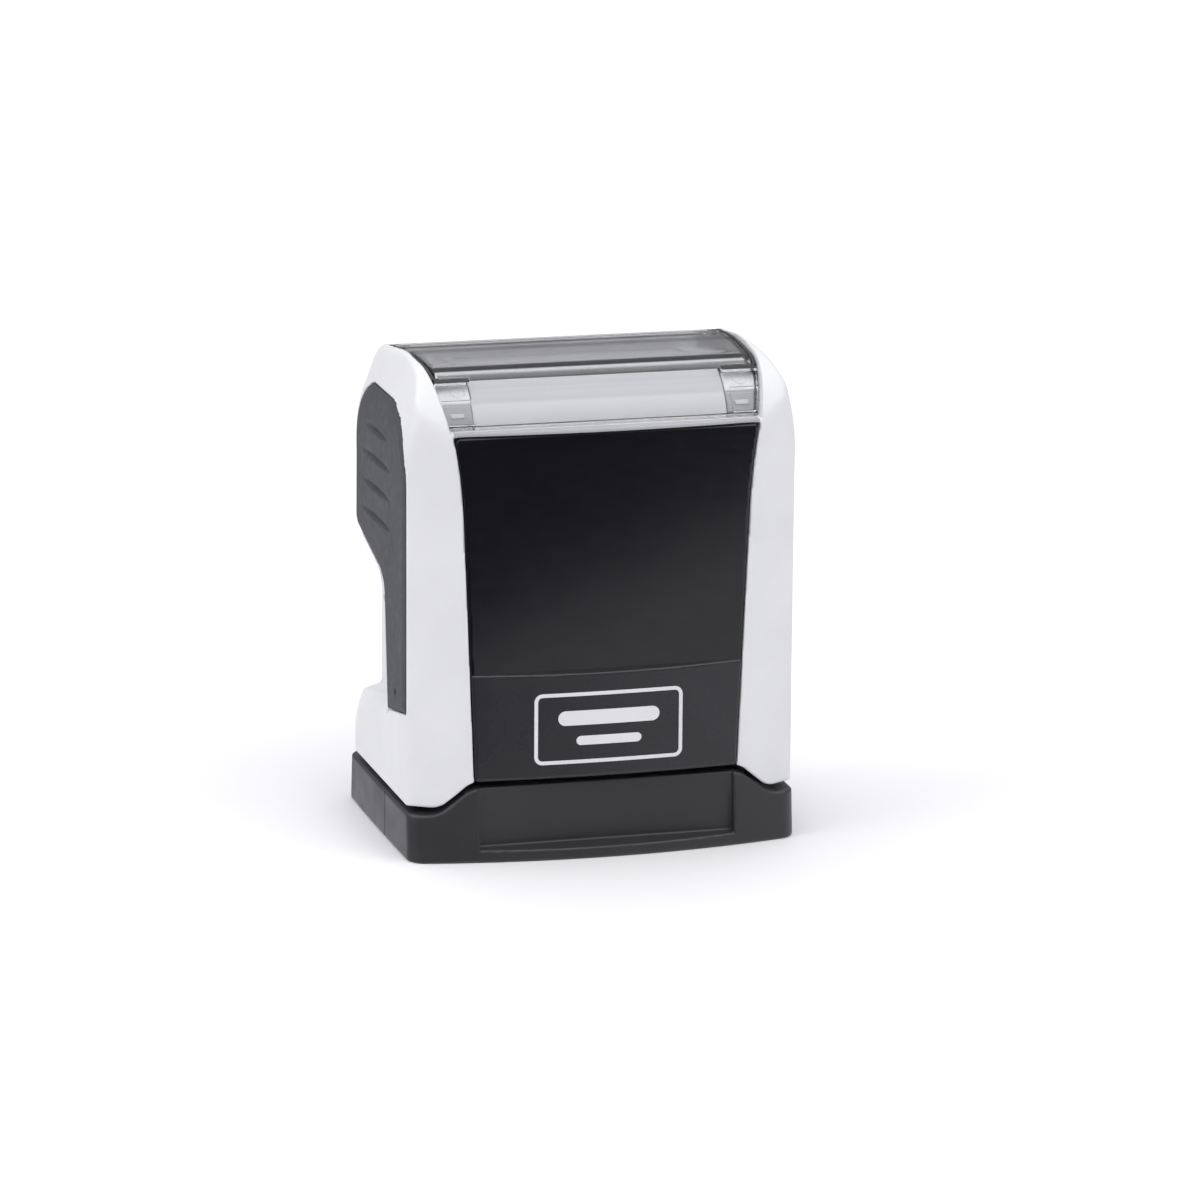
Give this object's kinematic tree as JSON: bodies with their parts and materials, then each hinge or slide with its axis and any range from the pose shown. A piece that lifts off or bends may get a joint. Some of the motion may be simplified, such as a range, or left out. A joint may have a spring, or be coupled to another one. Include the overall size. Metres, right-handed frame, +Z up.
{
  "type": "self-inking stamp",
  "caption": "Self-inking stamp pressed down in its storage cap: sliding handle with grips, panels and clear card window, inner frame, turning die on an axle and slide-out ink cartridge.",
  "frame": {"origin": "centre of the storage cap's underside, on the table", "axes": "+Z up, the way the handle is pressed down and springs up; -Y is the front with the two dark panels; +X is right seen from the front; the axle lies along X"},
  "size_m": [0.0432, 0.0336, 0.0529],
  "materials": {
    "cap_black": "satin moulded",
    "frame_black": "satin moulded",
    "shell_white": "satin moulded",
    "grip_grey": "soft matt",
    "panel_black": "polished",
    "window_clear": "clear polished",
    "card_white": "smooth card",
    "tray_grey": "satin moulded",
    "steel": "ground",
    "carrier_grey": "satin moulded",
    "plate_grey": "satin moulded",
    "die_rubber": "laser-cut matt",
    "cartridge_black": "satin moulded",
    "felt_violet": "ink-soaked felt",
    "button_grey": "satin moulded"
  },
  "bodies": {
    "base_cap": {"base_cap": "cap_black"},
    "frame": {"foot_ring": "frame_black", "inner_frame": "frame_black", "return_spring": "steel"},
    "handle": {"handle_shell": "shell_white", "left_grip": "grip_grey", "right_grip": "grip_grey", "front_upper_panel": "panel_black", "front_lower_panel": "panel_black", "back_upper_panel": "panel_black", "back_lower_panel": "panel_black", "card_tray": "tray_grey", "window_latches": "shell_white", "axle": "steel"},
    "carrier": {"die_carrier": "carrier_grey", "cam_pins": "steel", "die_plate": "plate_grey", "text_rubber": "die_rubber"},
    "cartridge": {"ink_cartridge": "cartridge_black", "ink_pad": "felt_violet"},
    "window": {"window_cover": "window_clear", "index_card": "card_white"},
    "left_lock": {"left_lock_button": "button_grey"},
    "right_lock": {"right_lock_button": "button_grey"}
  },
  "joints": [
    {"name": "cap_release", "type": "slide", "parent": "base_cap", "child": "frame", "axis": [0, 0, 1], "range_m": [0, 0.03]},
    {"name": "handle_lift", "type": "slide", "parent": "frame", "child": "handle", "axis": [0, 0, 1], "range_m": [0, 0.016], "deforming": ["return_spring"]},
    {"name": "die_turn", "type": "hinge", "parent": "handle", "child": "carrier", "pos_m": [0, 0, 0.0096], "axis": [1, 0, 0], "range_deg": [0, 180]},
    {"name": "cartridge_slide", "type": "slide", "parent": "frame", "child": "cartridge", "axis": [0, 1, 0], "range_m": [0, 0.024]},
    {"name": "window_lift", "type": "slide", "parent": "handle", "child": "window", "axis": [0, 0, 1], "range_m": [0, 0.012]},
    {"name": "left_lock_press", "type": "slide", "parent": "handle", "child": "left_lock", "axis": [0, -1, 0], "range_m": [0, 0.001], "stiffness_N_per_m": 200, "springref_m": -0.001},
    {"name": "right_lock_press", "type": "slide", "parent": "handle", "child": "right_lock", "axis": [0, -1, 0], "range_m": [0, 0.001], "stiffness_N_per_m": 200, "springref_m": -0.001}
  ],
  "couplings": [
    {"joint": "die_turn", "follows": "handle_lift", "rad_per_m": 196.35}
  ]
}
